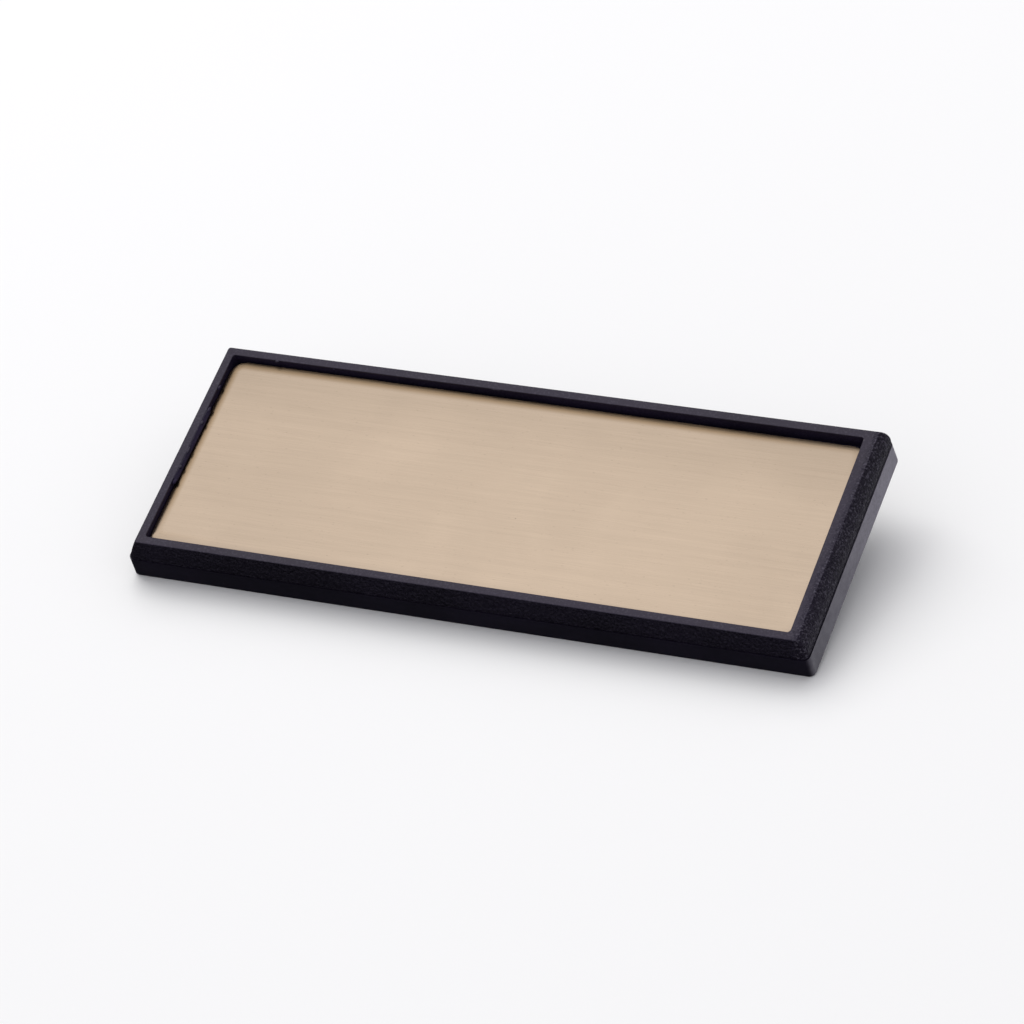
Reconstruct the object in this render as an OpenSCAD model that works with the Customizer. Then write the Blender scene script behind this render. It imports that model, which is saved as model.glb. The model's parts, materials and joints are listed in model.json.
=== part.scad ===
// Framed name badge with a pin back: a black moulded frame, a brushed gold face plate and a steel
// needle. Every piece is drawn flat first, with the back of the frame at z = 0, the face towards +Z
// and the badge's upper edge towards +Y. The whole badge is then laid down as it rests by itself:
// face up, on the lower edge of its back and on its two pin blocks.

/* [Frame] */
// Length of the badge
badge_w = 80; // [80:0.5:90]
// Height of the badge
badge_h = 29; // [29:0.5:34]
// Thickness of the moulding, without the pin blocks
badge_t = 5.3; // [5.2:0.1:6]
// Height of the smooth lower wall, up to the parting line
wall_h = 2.9; // [2:0.1:3.4]
// Inset of the textured upper side where it meets the rim
side_inset = 0.75; // [0.4:0.05:0.8]
// Bulge of the textured side at half its height
side_bulge = 0.06; // [0.02:0.01:0.1]
// Step between the lower wall and the textured side
ledge_w = 0.1; // [0.06:0.02:0.2]
// Width of the flat rim
rim_w = 1; // [0.9:0.05:1.05]
// Corner radius of the lower wall
corner_r = 0.7; // [0.4:0.1:1.4]
// Rounding of the edge between the back and the wall
edge_r = 0.2; // [0.1:0.05:0.3]
// Corner radius of the opening
opening_r = 0.3; // [0.2:0.05:0.6]

/* [Back] */
// Thickness of the back wall
back_t = 1.6; // [1.2:0.1:2]
// Width of the seat that carries the plate along both long sides
seat_w = 1.2; // [0.8:0.1:2]
// Number of cross ribs under the plate
rib_count = 3; // [1:1:5]
// Width of a cross rib
rib_w = 1.2; // [0.8:0.1:2]
// Width of the slot through the back at each short side
slot_w = 0.8; // [0.6:0.05:1]
// Length of a slot
slot_l = 11.5; // [9:0.5:14]
// Height of the slots' middle above the badge's middle
slot_y = 0.15; // [-1:0.05:1]
// Length of the lug above a slot, which keeps the plate in
lug_l = 9.7; // [6:0.1:10]
// Reach of a lug over the plate
lug_reach = 0.33; // [0.2:0.01:0.36]
// Diameter of the round mould mark on the back
mark_d = 4.8; // [3:0.1:6]
// Depth of the mould mark
mark_depth = 0.15; // [0.1:0.01:0.3]
// Place of the mould mark along the badge
mark_x = -1.1; // [-3:0.1:3]
// Place of the mould mark across the badge
mark_y = 5.8; // [4:0.1:7]

/* [Face plate] */
// Length of the plate
plate_w = 76; // [75.8:0.05:76.1]
// Height of the plate
plate_h = 24.7; // [24:0.05:24.75]
// Thickness of the plate
plate_t = 0.8; // [0.5:0.05:1]
// Corner radius of the plate
plate_r = 1.7; // [1:0.1:3]
// Depth of the plate's face below the rim
plate_recess = 0.85; // [0.8:0.05:1.1]
// Turn of the plate in its opening, in degrees
plate_turn = -0.49; // [-0.49:0.01:0.49]

/* [Pin blocks] */
// Height of both blocks over the back
block_h = 5; // [4.8:0.1:5.6]
// Lower side of both blocks at the back
block_low = 3.3; // [3:0.05:3.6]
// Upper side of both blocks at the back
block_top = 8.8; // [8.5:0.05:9.5]
// Draft of the sides over the blocks' height
block_draft = 0.3; // [0.1:0.05:0.4]
// Rounding of the blocks' outer edges
block_r = 0.35; // [0.2:0.05:0.5]
// Mouth end of the catch block at the back
catch_near = 9.5; // [9:0.1:9.8]
// Far end of the catch block at the back
catch_far = 18.3; // [18:0.1:20]
// Slope of the mouth over the block's height
catch_slope = 0.9; // [0.5:0.1:1]
// Thickness of the catch's end, top and front walls
catch_wall = 1; // [0.9:0.05:1.2]
// Width of the lip along the catch's lower side
lip_w = 1.15; // [0.9:0.05:1.3]
// Height of the gap under the lip
lip_gap = 2.75; // [2.6:0.05:2.8]
// Far end of the hinge block at the back
root_far = -18.7; // [-20:0.1:-18]
// Near end of the hinge block
root_near = -10.2; // [-10.6:0.1:-10]
// Length of the notch that the needle comes out of
notch_l = 2.1; // [1.8:0.1:2.4]
// Width of the notch
notch_w = 2.2; // [2:0.1:2.4]
// Height of the notch's floor over the back
notch_floor = 2.3; // [2:0.05:2.4]
// Length of the deep pocket at the notch's inner end
pocket_l = 1.1; // [0.8:0.1:1.4]
// Height of the pocket's floor over the back
pocket_floor = 0.6; // [0.4:0.1:1]

/* [Needle] */
// Diameter of the needle
needle_d = 0.78; // [0.6:0.02:0.78]
// Place of the needle across the badge
needle_y = 6.1; // [6:0.05:6.15]
// Height of the needle's axis over the back
needle_h = 3.3; // [3.25:0.05:3.4]
// Place of the hinge pin at the needle's root
hinge_x = -14; // [-14.2:0.1:-13.8]
// Point of the needle
tip_x = 10.7; // [10.6:0.1:11]
// Length of the ground point
point_l = 2.3; // [1.5:0.1:3]
// Diameter at the very point
tip_d = 0.08; // [0.06:0.02:0.14]
// Diameter of the hinge pin
hinge_d = 1.3; // [1.2:0.05:1.4]
// Length of the hinge pin
hinge_l = 1.4; // [1.2:0.1:1.6]
// Clearance round the hinge pin
hinge_gap = 0.05; // [0.03:0.01:0.08]
// Clearance round the needle where it leaves the block
neck_gap = 0.06; // [0.05:0.01:0.08]
// Swing of the needle from rest until it is clear of the catch
swing = 10; // [8:0.5:10.5]
// Slope of the point's way, from the badge's plane towards the back
swing_slope = 37; // [36:1:38]

/* [Hidden] */
$fn = 48;

// Steps in the rounding of a section's corner
arc_steps = 3;
// Steps in the bulge of the textured side
side_steps = 4;
// Overlap of shapes that are joined, and overshoot of shapes that are cut away
lap = 0.5;
// Gap between the plate and its seat
plate_gap = 0.03;
// Gap between the plate's face and the underside of a lug
lug_gap = 0.13;
// Height of a lug's outer edge and of its slope
lug_edge = 0.17;
lug_rise = 0.3;
// Gap between the needle and the upper side of the notch
notch_gap = 0.1;

opening_w = badge_w - 2 * (side_inset + rim_w);
opening_h = badge_h - 2 * (side_inset + rim_w);
face_z = badge_t - plate_recess;
seat_z = face_z - plate_t - plate_gap;
lug_z = face_z + lug_gap;
slot_x = opening_w / 2 - slot_w / 2;
notch_x = root_near - notch_l;
notch_low = needle_y + needle_d / 2 + notch_gap - notch_w;
lip_y = block_low + lip_w;
needle_l = tip_x - hinge_x;
neck_r = needle_d / 2 + neck_gap;
neck_l = notch_x - hinge_x;
neck_shift = neck_l * tan(swing);

// Points [inset, z] up one side of the frame, from the back to the rim
edge_arc = [for (i = [0:arc_steps])
    let (a = 90 * i / arc_steps)
    [edge_r * (1 - sin(a)), edge_r * (1 - cos(a))]];
side_curve = [for (i = [0:side_steps])
    let (t = i / side_steps)
    [
        ledge_w + (side_inset - ledge_w) * t - 4 * side_bulge * t * (1 - t),
        wall_h + (badge_t - wall_h) * t
    ]];
side_profile = concat(edge_arc, [[0, wall_h]], side_curve);

// Points [y, z] of the blocks' section; the back is at z = 0 and the blocks stand towards -Z
block_section = tapered_section(block_low, block_top, block_draft, block_draft);

// How the badge rests: the line under the lower back edge and under the blocks
rest_tilt = min([for (e = edge_arc)
    max([for (b = block_section)
        atan2(e[1] - b[1], b[0] + badge_h / 2 - e[0])])]);
side_points = concat(
    [for (p = side_profile) [p[0] - badge_h / 2, p[1]]],
    [for (p = side_profile) [badge_h / 2 - p[0], p[1]]],
    block_section
);
rest_y = [for (p = side_points) p[0] * cos(rest_tilt) - p[1] * sin(rest_tilt)];
rest_z = [for (p = side_points) p[0] * sin(rest_tilt) + p[1] * cos(rest_tilt)];

// Section from low to high at the back, narrower by each draft at the front, with rounded edges
function tapered_section(low, high, draft_low, draft_high) = concat(
    [[low, lap]],
    [[low, 0]],
    rounded_corner(low + draft_low, 1),
    rounded_corner(high - draft_high, -1),
    [[high, 0]],
    [[high, lap]]
);

// Rounded corner at the front of a block; side is 1 at the low end and -1 at the high end
function rounded_corner(edge, side) = [for (i = [0:arc_steps])
    let (a = 90 * (side > 0 ? i : arc_steps - i) / arc_steps)
    [edge + side * block_r * (1 - cos(a)), -block_h + block_r * (1 - sin(a))]];

// Lays the flat badge down as it rests, centred over the origin
module at_rest() {
    translate([0, -(min(rest_y) + max(rest_y)) / 2, -min(rest_z)])
        rotate([rest_tilt, 0, 0])
            children();
}

// Extrudes a section given as [y, z] along X
module along_x(from, to) {
    translate([from, 0, 0])
        rotate([90, 0, 90])
            linear_extrude(height = to - from)
                children();
}

// Extrudes a section given as [x, z] along Y
module along_y(from, to) {
    translate([0, to, 0])
        rotate([90, 0, 0])
            linear_extrude(height = to - from)
                children();
}

module rounded_rectangle(w, h, r) {
    square([w - 2 * r, h], center = true);
    square([w, h - 2 * r], center = true);
    for (sx = [-1, 1], sy = [-1, 1])
        translate([sx * (w / 2 - r), sy * (h / 2 - r)])
            circle(r = r);
}

// Section right across the frame, half wide on each side
module frame_section(half) {
    right = [for (p = side_profile) [half - p[0], p[1]]];
    left = [for (i = [len(side_profile) - 1:-1:0]) [side_profile[i][0] - half, side_profile[i][1]]];
    polygon(concat(right, left));
}

// Solid slab with the frame's outer form: mitred sides, and rounded corners on the lower wall
module frame_slab() {
    intersection() {
        along_x(-badge_w / 2, badge_w / 2)
            frame_section(badge_h / 2);
        along_y(-badge_h / 2, badge_h / 2)
            frame_section(badge_w / 2);
        linear_extrude(height = badge_t)
            rounded_rectangle(badge_w, badge_h, corner_r);
    }
}

// Space for the plate, and the hollow under it
module plate_pocket() {
    translate([0, 0, seat_z])
        linear_extrude(height = badge_t - seat_z + lap)
            rounded_rectangle(opening_w, opening_h, opening_r);
    hollow_h = opening_h - 2 * seat_w;
    difference() {
        translate([-opening_w / 2, -hollow_h / 2, back_t])
            cube([opening_w, hollow_h, seat_z - back_t + lap / 2]);
        for (i = [1:rib_count])
            translate([opening_w * (i / (rib_count + 1) - 0.5) - rib_w / 2, -badge_h / 2, 0])
                cube([rib_w, badge_h, seat_z]);
    }
}

module back_slots() {
    for (s = [-1, 1])
        translate([s * slot_x - slot_w / 2, slot_y - slot_l / 2, -lap])
            cube([slot_w, slot_l, back_t + 2 * lap]);
}

// Lugs that keep the plate in, one on each short side of the opening
module plate_lugs() {
    for (s = [-1, 1]) {
        wall = opening_w / 2;
        along_y(slot_y - lug_l / 2, slot_y + lug_l / 2)
            polygon([
                [s * (wall + lap), lug_z],
                [s * (wall - lug_reach), lug_z],
                [s * (wall - lug_reach), lug_z + lug_edge],
                [s * wall, lug_z + lug_edge + lug_rise],
                [s * (wall + lap), lug_z + lug_edge + lug_rise]
            ]);
    }
}

// Tapered block with rounded edges; the slopes are the drafts at its two ends
module pin_block(from, to, slope_from, slope_to) {
    intersection() {
        along_x(from - lap, to + lap)
            polygon(block_section);
        along_y(0, block_top + lap)
            polygon(tapered_section(from, to, slope_from, slope_to));
    }
}

// Hollow of the catch: open at the mouth, and along the lower side under the lip
module catch_hollow() {
    inner_far = catch_far - catch_wall;
    inner_top = block_top - block_draft - catch_wall;
    reach = inner_far - catch_near + lap;
    translate([catch_near - lap, lip_y, -block_h + catch_wall])
        cube([reach, inner_top - lip_y, block_h - catch_wall]);
    translate([catch_near - lap, block_low - lap, -lip_gap])
        cube([reach, lip_w + 2 * lap, lip_gap]);
}

// Cylinder on the hinge's axis, for the pin and for its bore
module hinge_cylinder(d, l) {
    translate([hinge_x, needle_y, -needle_h])
        rotate([-swing_slope, 0, 0])
            cylinder(d = d, h = l, center = true);
}

// Notch and pocket in front of the needle's root, its bore and the way that the needle needs
module root_cuts() {
    translate([notch_x, notch_low, -block_h - lap])
        cube([notch_l + lap, notch_w, block_h + lap - notch_floor]);
    translate([notch_x, notch_low, -block_h - lap])
        cube([pocket_l, needle_y - notch_low, block_h + lap - pocket_floor]);
    hinge_cylinder(hinge_d + 2 * hinge_gap, hinge_l + 2 * hinge_gap);
    translate([0, needle_y, -needle_h])
        along_x(hinge_x, notch_x + lap / 2)
            neck_outline();
}

// Outline of the way that the needle needs where it leaves the bore
module neck_outline() {
    circle(r = neck_r);
    rotate([0, 0, 180 - swing_slope]) {
        translate([0, -neck_r])
            square([neck_shift, 2 * neck_r]);
        translate([neck_shift, 0])
            circle(r = neck_r);
    }
}

module badge_frame() {
    color("#17171b")
        at_rest() {
            difference() {
                union() {
                    difference() {
                        frame_slab();
                        plate_pocket();
                    }
                    pin_block(catch_near, catch_far, catch_slope, block_draft);
                    pin_block(root_far, root_near, block_draft, 0);
                    plate_lugs();
                }
                back_slots();
                catch_hollow();
                root_cuts();
                translate([mark_x, mark_y, -lap])
                    cylinder(d = mark_d, h = mark_depth + lap);
            }
        }
}

module face_plate() {
    color("#c8b298")
        at_rest()
            translate([0, 0, face_z - plate_t])
                rotate([0, 0, plate_turn])
                    linear_extrude(height = plate_t)
                        rounded_rectangle(plate_w, plate_h, plate_r);
}

module pin_needle() {
    color("#d9d6d0")
        at_rest() {
            hinge_cylinder(hinge_d, hinge_l);
            translate([hinge_x, needle_y, -needle_h])
                rotate([0, 90, 0]) {
                    cylinder(d = needle_d, h = needle_l - point_l);
                    translate([0, 0, needle_l - point_l])
                        cylinder(d1 = needle_d, d2 = tip_d, h = point_l);
                }
        }
}

badge_frame();
face_plate();
pin_needle();
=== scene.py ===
"""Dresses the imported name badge: the moulded frame, the brushed plate, the needle and the stage."""

import json
import math
from types import SimpleNamespace

import bmesh
import bpy
from mathutils import Matrix, Vector


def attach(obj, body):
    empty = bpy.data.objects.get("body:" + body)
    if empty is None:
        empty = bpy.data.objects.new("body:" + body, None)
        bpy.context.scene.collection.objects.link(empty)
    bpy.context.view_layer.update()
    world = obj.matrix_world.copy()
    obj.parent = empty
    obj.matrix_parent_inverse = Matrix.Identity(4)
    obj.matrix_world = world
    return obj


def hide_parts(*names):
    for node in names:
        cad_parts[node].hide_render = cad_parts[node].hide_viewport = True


bl_info = {
    "name": "Name badge",
    "version": (1, 0, 0),
    "blender": (4, 5, 0),
    "location": "3D View > Sidebar > Badge",
    "description": "Makes a framed name badge with a pin back around its packed frame",
    "category": "Add Mesh",
}

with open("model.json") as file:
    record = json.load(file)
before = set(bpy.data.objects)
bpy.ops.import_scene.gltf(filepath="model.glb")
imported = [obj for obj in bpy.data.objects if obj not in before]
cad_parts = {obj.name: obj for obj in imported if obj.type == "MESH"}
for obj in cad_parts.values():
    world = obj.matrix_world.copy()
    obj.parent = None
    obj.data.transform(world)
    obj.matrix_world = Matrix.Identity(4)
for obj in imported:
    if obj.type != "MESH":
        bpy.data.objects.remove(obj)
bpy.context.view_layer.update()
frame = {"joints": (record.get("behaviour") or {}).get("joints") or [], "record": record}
MM = 0.001
BRUSH_MAP = "brush"

# The badge is modelled flat, with its back at z = 0 and its face towards +Z, and then laid down as
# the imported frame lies: the record's back face gives the place and the tilt.
BACK_FACE = next(m for m in frame["record"]["mounts"] if m["name"] == "back_face")
REST_TILT = math.atan2(BACK_FACE["axis"][1], -BACK_FACE["axis"][2])
AT_REST = Matrix.Translation(BACK_FACE["pos_m"]) @ Matrix.Rotation(REST_TILT, 4, "X")
ALONG = Vector((1, 0, 0))
HINGE_AXIS = AT_REST.to_3x3().inverted() @ Vector(frame["joints"][0]["axis"])
SWING_WAY = HINGE_AXIS.cross(ALONG)
SWING = math.radians(frame["joints"][0]["range_deg"][1])


# Settings

def mm(name, description, default):
    """A length property; its default is given in millimetres."""
    return bpy.props.FloatProperty(
        name=name, description=description, default=default * MM, unit="LENGTH", precision=5
    )


def colour(name, description, rgb):
    return bpy.props.FloatVectorProperty(
        name=name, description=description, default=rgb, subtype="COLOR", size=3, min=0, max=1
    )


class FrameSettings(bpy.types.PropertyGroup):
    """Sizes and colours of the moulded frame"""

    badge_length: mm("Length", "Length of the badge", 80)
    badge_height: mm("Height", "Height of the badge", 29)
    thickness: mm("Thickness", "Thickness of the moulding without the pin blocks", 5.3)
    wall_height: mm("Wall height", "Height of the smooth lower wall", 2.9)
    side_inset: mm("Side inset", "Inset of the grained side at the rim", 0.75)
    side_bulge: mm("Side bulge", "Bulge of the grained side at half its height", 0.06)
    ledge: mm("Ledge", "Step between the lower wall and the grained side", 0.1)
    rim_width: mm("Rim width", "Width of the flat rim", 1)
    corner_radius: mm("Corner radius", "Corner radius of the lower wall", 0.75)
    rim_radius: mm("Rim radius", "Corner radius of the rim's outline", 0.3)
    back_edge: mm("Back edge", "Rounding between the back and the wall", 0.2)
    rim_edge: mm("Rim edge", "Rounding of the rim's outer edge", 0.14)
    lip_edge: mm("Lip edge", "Rounding of the rim's inner edge", 0.07)
    rim_lean: mm("Rim lean", "Lean of the rim over its upper right corner", 0.5)
    left_stand: mm("Left wall", "How far the left wall stands out", 0.55)
    left_flare: mm("Left flare", "How far the left wall's foot stands out further", 0.32)
    corner_stand: mm("Lower right", "How far the lower right corner stands out", 0.35)
    right_bulge: mm("Right bulge", "Further bulge of the right side", 0.16)
    corner_bulge: mm("Corner bulge", "Further bulge of the upper right corner", 0.28)
    worn_width: mm("Worn width", "How far the rim's right edge is worn round", 0.24)
    worn_drop: mm("Worn drop", "How far the rim's right edge is worn down", 0.15)
    opening_radius: mm("Opening radius", "Corner radius of the opening", 0.3)
    seat_z: mm("Seat", "Height of the plate's seat over the back", 3.62)
    seat_width: mm("Seat width", "Width of the plate's seat", 1.2)
    back_wall: mm("Back wall", "Thickness of the back wall", 1.6)
    rib_width: mm("Rib width", "Width of a cross rib under the plate", 1.2)
    rib_count: bpy.props.IntProperty(
        name="Ribs", description="Cross ribs under the plate", default=3
    )
    slot_width: mm("Slot width", "Width of the slots in the back", 0.8)
    slot_length: mm("Slot length", "Length of the slots in the back", 11.5)
    slot_y: mm("Slot place", "Height of the slots' middle above the badge's middle", 0.15)
    lug_length: mm("Lug length", "Length of the lugs that keep the plate in", 9.7)
    lug_reach: mm("Lug reach", "Reach of a lug over the plate", 0.33)
    lug_z: mm("Lug underside", "Height of a lug's underside over the back", 4.58)
    lug_edge: mm("Lug edge", "Height of a lug's outer edge", 0.17)
    lug_rise: mm("Lug rise", "Height of a lug's slope", 0.3)
    lug_lift: mm("Left lug", "How much higher the left lug sits", 0.2)
    mark_diameter: mm("Mark diameter", "Diameter of the round mould mark", 4.8)
    mark_depth: mm("Mark depth", "Depth of the round mould mark", 0.15)
    mark_x: mm("Mark x", "Place of the mould mark along the badge", -1.1)
    mark_y: mm("Mark y", "Place of the mould mark across the badge", 5.8)
    plastic: colour("Plastic", "Colour of the moulding", (0.0048, 0.0034, 0.009))


class BlockSettings(bpy.types.PropertyGroup):
    """Sizes of the two pin blocks"""

    block_height: mm("Height", "Height of the blocks over the back", 5)
    low: mm("Low side", "Lower side of the blocks at the back", 3.3)
    high: mm("High side", "Upper side of the blocks at the back", 8.8)
    draft: mm("Draft", "Draft of the sides over the blocks' height", 0.3)
    rounding: mm("Rounding", "Rounding of the blocks' outer edges", 0.35)
    catch_near: mm("Catch mouth", "Mouth end of the catch block", 9.5)
    catch_far: mm("Catch end", "Far end of the catch block", 18.3)
    catch_slope: mm("Mouth slope", "Slope of the mouth over the block's height", 0.9)
    catch_wall: mm("Catch wall", "Thickness of the catch's walls", 1)
    lip_width: mm("Lip width", "Width of the lip along the catch's lower side", 1.15)
    lip_gap: mm("Lip gap", "Height of the gap under the lip", 2.75)
    root_far: mm("Root end", "Far end of the hinge block", -18.7)
    root_near: mm("Root front", "Near end of the hinge block", -10.2)
    notch_length: mm("Notch length", "Length of the notch for the needle", 2.1)
    notch_low: mm("Notch low side", "Lower side of the notch", 4.39)
    notch_high: mm("Notch high side", "Upper side of the notch", 6.59)
    notch_floor: mm("Notch floor", "Height of the notch's floor over the back", 2.3)
    pocket_length: mm("Pocket length", "Length of the deep pocket in the notch", 1.1)
    pocket_floor: mm("Pocket floor", "Height of the pocket's floor over the back", 0.6)


class PlateSettings(bpy.types.PropertyGroup):
    """Sizes and colours of the brushed plate"""

    plate_length: mm("Length", "Length of the plate", 76.2)
    plate_height: mm("Height", "Height of the plate", 24.9)
    thickness: mm("Thickness", "Thickness of the plate", 0.8)
    corner_radius: mm("Corner radius", "Corner radius of the plate", 1.7)
    face_z: mm("Face", "Height of the plate's face over the back", 4.45)
    edge: mm("Edge", "Rounding of the plate's edges", 0.06)
    roll_width: mm("Roll width", "Width over which the punched edge rolls down", 0.8)
    roll_drop: mm("Roll drop", "Drop of the punched edge", 0.12)
    left_lift: mm("Left lift", "How much higher the plate lies at its left end", 0.33)
    sag: mm("Sag", "How far the plate has slipped down in its opening", 0.15)
    turn: bpy.props.FloatProperty(
        name="Turn", description="Turn of the plate in its opening",
        default=math.radians(-0.2), subtype="ANGLE",
    )
    metal: colour("Metal", "Colour of the brushed metal", (0.565, 0.452, 0.353))


class NeedleSettings(bpy.types.PropertyGroup):
    """Sizes and colours of the needle"""

    diameter: mm("Diameter", "Diameter of the needle", 0.78)
    root_x: mm("Root", "Place of the hinge pin along the badge", -14)
    tip_x: mm("Tip", "Place of the needle's point", 10.7)
    y: mm("Across", "Place of the needle across the badge", 6.1)
    z: mm("Depth", "Place of the needle's axis behind the back", -3.3)
    point_length: mm("Point length", "Length of the ground point", 2.3)
    tip_diameter: mm("Tip diameter", "Diameter at the very point", 0.08)
    pin_diameter: mm("Pin diameter", "Diameter of the hinge pin", 1.3)
    pin_length: mm("Pin length", "Length of the hinge pin", 1.4)
    pin_clearance: mm("Clearance", "Clearance round the hinge pin", 0.05)
    steel: colour("Steel", "Colour of the steel", (0.78, 0.76, 0.73))


class StageSettings(bpy.types.PropertyGroup):
    """The camera, the floor and the light"""

    camera_place: bpy.props.FloatVectorProperty(
        name="Camera", description="Place of the camera", subtype="TRANSLATION",
        default=(0.245573, -0.394190, 0.346002), precision=5,
    )
    camera_turn: bpy.props.FloatVectorProperty(
        name="Camera turn", description="Turn of the camera", subtype="EULER",
        default=[math.radians(a) for a in (53.0767, 9.7698, 24.6386)], precision=5,
    )
    lens: bpy.props.FloatProperty(
        name="Lens", description="Focal length of the camera in millimetres", default=188.19
    )
    floor_colour: colour("Floor", "Colour of the floor", (0.86, 0.86, 0.86))
    key_power: bpy.props.FloatProperty(
        name="Key light", description="Power of the key light", default=6, unit="POWER"
    )
    sky_strength: bpy.props.FloatProperty(
        name="Sky", description="Strength of the studio's even light", default=1.2
    )


SETTINGS = {
    "badge_frame_settings": FrameSettings,
    "badge_block_settings": BlockSettings,
    "badge_plate_settings": PlateSettings,
    "badge_needle_settings": NeedleSettings,
    "badge_stage_settings": StageSettings,
}


def in_millimetres(group):
    """The lengths of a settings group in millimetres, by name."""
    lengths = [p.identifier for p in group.bl_rna.properties if getattr(p, "unit", "") == "LENGTH"]
    return SimpleNamespace(**{name: getattr(group, name) / MM for name in lengths})


# Shapes, drawn flat and in millimetres

WELD = 0.001
SHARP_ANGLE = math.radians(32)
MARK_SEGMENTS = 48


def box(bm, low, high):
    """Adds a box between two corners."""
    low, high = Vector(low), Vector(high)
    place = Matrix.Translation((low + high) / 2) @ Matrix.Diagonal((*(high - low), 1))
    return bmesh.ops.create_cube(bm, size=1, matrix=place)["verts"]


def cylinder(bm, radius, depth, place, segments):
    """Adds a closed cylinder along the local Z axis of place."""
    bmesh.ops.create_cone(
        bm, cap_ends=True, segments=segments, radius1=radius, radius2=radius, depth=depth,
        matrix=place,
    )


def round_edges(bm, edges, radius, segments):
    bmesh.ops.bevel(
        bm, geom=list(edges), offset=radius, offset_type="OFFSET", segments=segments,
        profile=0.5, affect="EDGES", material=-1, clamp_overlap=True,
    )


def rounded_face(bm, half_x, half_y, radius, z, segments):
    """Adds a flat rectangle with rounded corners and returns its face."""
    before = set(bm.faces)
    place = Matrix.Translation((0, 0, z)) @ Matrix.Diagonal((half_x, half_y, 1, 1))
    corners = bmesh.ops.create_grid(bm, x_segments=1, y_segments=1, size=1, matrix=place)["verts"]
    bmesh.ops.bevel(
        bm, geom=corners, offset=radius, offset_type="OFFSET", segments=segments,
        profile=0.5, affect="VERTICES", material=-1,
    )
    return next(f for f in bm.faces if f not in before)


def middle(item):
    """The middle of a face or an edge."""
    return sum((v.co for v in item.verts), Vector()) / len(item.verts)


def fade(value, start, end):
    """Goes from 0 to 1 while a value goes from start to end."""
    return min(max((value - start) / (end - start), 0), 1)


def raise_face(bm, face, rise):
    """Moves a face up, with new walls behind it."""
    bmesh.ops.inset_region(
        bm, faces=[face], thickness=0, depth=0, use_even_offset=True, use_boundary=True
    )
    bmesh.ops.translate(bm, verts=face.verts, vec=(0, 0, rise))


def push_out(bm, face, way):
    """Makes a solid of a face by pushing a copy of it along a vector; returns the far corners."""
    pushed = bmesh.ops.extrude_face_region(bm, geom=[face], use_keep_orig=True)["geom"]
    corners = [v for v in pushed if isinstance(v, bmesh.types.BMVert)]
    bmesh.ops.translate(bm, verts=corners, vec=way)
    return corners


def add_object(name, data):
    """Adds an object to the scene."""
    item = bpy.data.objects.new(name, data)
    bpy.context.scene.collection.objects.link(item)
    return item


def new_mesh(name, bm):
    """Turns a drawing into a mesh."""
    mesh = bpy.data.meshes.new(name)
    bm.to_mesh(mesh)
    bm.free()
    return mesh


def solid(name, bm):
    """Turns a closed drawing into an object whose faces point outwards."""
    bmesh.ops.recalc_face_normals(bm, faces=bm.faces)
    return add_object(name, new_mesh(name, bm))


def combine(piece, other, operation):
    """Joins another solid to a piece, or cuts it away, and removes the other."""
    modifier = piece.modifiers.new("combine", "BOOLEAN")
    modifier.operation = operation
    modifier.solver = "EXACT"
    modifier.use_self = True
    modifier.object = other
    bpy.context.view_layer.update()
    result = piece.evaluated_get(bpy.context.evaluated_depsgraph_get())
    mesh = bpy.data.meshes.new_from_object(result)
    piece.modifiers.clear()
    old, piece.data = piece.data, mesh
    bpy.data.meshes.remove(old)
    bpy.data.meshes.remove(other.data)


def check_closed(piece):
    """Raises an error unless every edge of a piece joins two faces."""
    bm = bmesh.new()
    bm.from_mesh(piece.data)
    open_edges = sum(1 for e in bm.edges if len(e.link_faces) != 2)
    bm.free()
    if open_edges:
        raise RuntimeError(f"{piece.name} has {open_edges} open edges")


def lay_down(piece, materials, pick_material=None):
    """Lays a flat piece down as the badge rests, in metres, with its materials and with soft and
    sharp edges marked."""
    check_closed(piece)
    mesh = piece.data
    for material in materials:
        mesh.materials.append(material)
    if pick_material:
        for face in mesh.polygons:
            face.material_index = pick_material(face.center)
    mesh.transform(AT_REST @ Matrix.Scale(MM, 4))
    mesh.polygons.foreach_set("use_smooth", [True] * len(mesh.polygons))
    mesh.set_sharp_from_angle(angle=SHARP_ANGLE)
    weighted = piece.modifiers.new("flat faces stay flat", "WEIGHTED_NORMAL")
    weighted.keep_sharp = True
    mesh.update()


# The moulded frame

ARC_STEPS = 8
EDGE_STEPS = 4
LIP_STEPS = 3
SIDE_STEPS = 7
GROOVE_DEPTH, GROOVE_HEIGHT = 0.08, 0.05
UNDER_LUG = 0.05
LAP = 0.5


def frame_sizes(settings):
    """The frame's sizes in millimetres, with the half length and half height of its opening."""
    s = in_millimetres(settings)
    s.opening_x = s.badge_length / 2 - s.side_inset - s.rim_width
    s.opening_y = s.badge_height / 2 - s.side_inset - s.rim_width
    return s


def loft(bm, rings):
    """A closed form through rounded rectangles, given as (half x, half y, radius, z)."""
    loops = []
    for ring in rings:
        face = rounded_face(bm, *ring, ARC_STEPS)
        loops.append(list(face.edges))
        if ring not in (rings[0], rings[-1]):
            bmesh.ops.delete(bm, geom=[face], context="FACES_ONLY")
    for loop, following in zip(loops, loops[1:]):
        bmesh.ops.bridge_loops(bm, edges=loop + following)
    return loops


def arc(radius, steps):
    """Points (across, up) on a quarter circle that starts downwards and ends sideways."""
    angles = [math.pi / 2 * i / steps for i in range(steps + 1)]
    return [(radius * math.sin(a), radius * math.cos(a)) for a in angles]


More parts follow.
